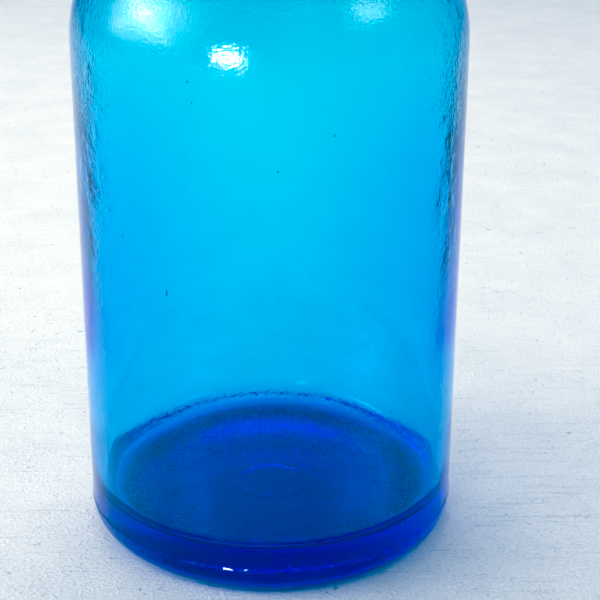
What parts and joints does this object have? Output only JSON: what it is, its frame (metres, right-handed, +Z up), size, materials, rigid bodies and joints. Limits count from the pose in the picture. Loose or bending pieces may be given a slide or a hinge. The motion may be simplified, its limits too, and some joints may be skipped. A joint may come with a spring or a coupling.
{
  "type": "antique glass bottle",
  "caption": "Round-shouldered apothecary bottle in blue glass with a thick base, a narrow neck, a tooled lip and a tapered cork that pulls out.",
  "frame": {"origin": "centre of the base, on the plane that the standing ring rests on", "axes": "+Z up along the bottle's axis, towards the mouth; +X and +Y are alike, because the bottle is turned"},
  "size_m": [0.0906, 0.0906, 0.2009],
  "materials": {
    "blue_glass": "clear azure to cobalt glass coloured through, glossy, with whittle waves, seeds and light wear",
    "cork_bark": "matte natural cork bark with dark pores"
  },
  "bodies": {
    "bottle": {"glass_bottle": "blue_glass"},
    "cork": {"cork_stopper": "cork_bark"}
  },
  "joints": [
    {"name": "cork_lift", "type": "slide", "parent": "bottle", "child": "cork", "axis": [0, 0, 1], "range_m": [0, 0.045]}
  ]
}
